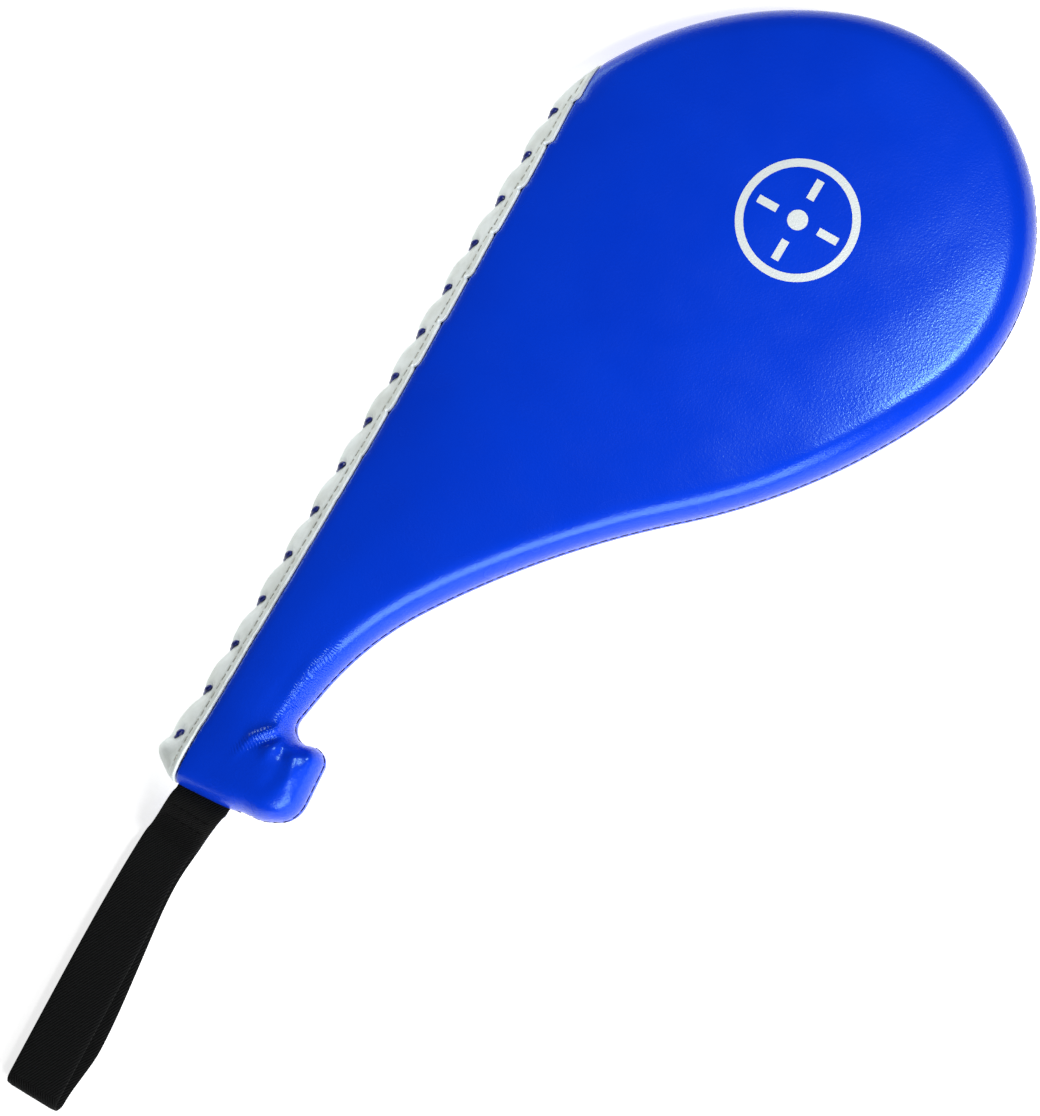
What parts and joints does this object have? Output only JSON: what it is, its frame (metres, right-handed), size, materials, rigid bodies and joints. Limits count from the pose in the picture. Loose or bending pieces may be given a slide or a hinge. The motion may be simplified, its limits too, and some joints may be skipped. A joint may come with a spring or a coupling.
{
  "type": "kick paddle",
  "caption": "Padded kick target with a flared handle, a cover closed by a lace along one straight edge, and a webbing wrist loop at the pommel.",
  "frame": {"origin": "middle of the whole part's bounding box in plan, on the plane of the back face that the paddle lies on", "axes": "+X along the paddle from the pommel to the head, +Y towards the laced edge, +Z out of the striking face"},
  "size_m": [0.5328, 0.1929, 0.036],
  "materials": {
    "blue_leather": "pebbled synthetic leather, satin",
    "white_leather": "smooth synthetic leather, satin",
    "lace_cord": "round braided cord",
    "white_thread": "twisted thread",
    "blue_thread": "twisted thread",
    "white_print": "flat transfer print",
    "grey_foam": "closed-cell foam",
    "plate_plastic": "flexible sheet",
    "core_wood": "sanded",
    "rivet_metal": "plain",
    "black_webbing": "fine twill webbing",
    "black_thread": "twisted thread"
  },
  "bodies": {
    "paddle": {"front_panel": "blue_leather", "back_panel": "blue_leather", "front_lacing_strip": "white_leather", "back_lacing_strip": "white_leather", "lace": "lace_cord", "lace_end_knots": "lace_cord", "front_strip_stitching": "white_thread", "back_strip_stitching": "white_thread", "edge_seam_stitching": "blue_thread", "emblem": "white_print", "front_foam_pad": "grey_foam", "back_foam_pad": "grey_foam", "spine_plate": "plate_plastic", "handle_core_front": "core_wood", "handle_core_back": "core_wood", "handle_rivets": "rivet_metal", "strap_rivet": "rivet_metal", "strap_tail": "black_webbing"},
    "strap_base": {"strap_root": "black_webbing", "strap_tack_stitching": "black_thread"},
    "loop_lower_near": {"strap_lower_near": "black_webbing"},
    "loop_lower_middle": {"strap_lower_middle": "black_webbing"},
    "loop_lower_far": {"strap_lower_far": "black_webbing"},
    "loop_fold": {"strap_fold": "black_webbing"},
    "loop_upper_far": {"strap_upper_far": "black_webbing"},
    "loop_upper_middle": {"strap_upper_middle": "black_webbing"},
    "loop_upper_near": {"strap_upper_near": "black_webbing"}
  },
  "joints": [
    {"name": "strap_swing", "type": "hinge", "parent": "paddle", "child": "strap_base", "pos_m": [-0.14092, -0.02129, 0.018], "axis": [-0.3256, 0.9455, 0], "range_deg": [-45, 100]},
    {"name": "loop_open", "type": "hinge", "parent": "strap_base", "child": "loop_lower_near", "pos_m": [-0.16267, -0.02878, 0.0007], "axis": [0.3256, -0.9455, 0], "range_deg": [0, 60]},
    {"name": "lower_middle_bend", "type": "hinge", "parent": "loop_lower_near", "child": "loop_lower_middle", "pos_m": [-0.19576, -0.04017, 0.0007], "axis": [0.3256, -0.9455, 0], "range_deg": [-60, 0]},
    {"name": "lower_far_bend", "type": "hinge", "parent": "loop_lower_middle", "child": "loop_lower_far", "pos_m": [-0.22885, -0.05157, 0.0007], "axis": [0.3256, -0.9455, 0], "range_deg": [-60, 0]},
    {"name": "fold_bend", "type": "hinge", "parent": "loop_lower_far", "child": "loop_fold", "pos_m": [-0.26194, -0.06296, 0.0007], "axis": [0.3256, -0.9455, 0], "range_deg": [0, 60]},
    {"name": "upper_near_bend", "type": "hinge", "parent": "strap_base", "child": "loop_upper_near", "pos_m": [-0.16267, -0.02878, 0.0073], "axis": [-0.3256, 0.9455, 0], "range_deg": [0, 60]},
    {"name": "upper_middle_bend", "type": "hinge", "parent": "loop_upper_near", "child": "loop_upper_middle", "pos_m": [-0.19576, -0.04017, 0.0073], "axis": [-0.3256, 0.9455, 0], "range_deg": [-60, 0]},
    {"name": "upper_far_bend", "type": "hinge", "parent": "loop_upper_middle", "child": "loop_upper_far", "pos_m": [-0.22885, -0.05157, 0.0073], "axis": [-0.3256, 0.9455, 0], "range_deg": [-60, 0]}
  ],
  "couplings": [
    {"joint": "lower_middle_bend", "follows": "loop_open", "ratio": -1},
    {"joint": "lower_far_bend", "follows": "loop_open", "ratio": -1},
    {"joint": "fold_bend", "follows": "loop_open", "ratio": 1},
    {"joint": "upper_near_bend", "follows": "loop_open", "ratio": 1},
    {"joint": "upper_middle_bend", "follows": "loop_open", "ratio": -1},
    {"joint": "upper_far_bend", "follows": "loop_open", "ratio": -1}
  ]
}
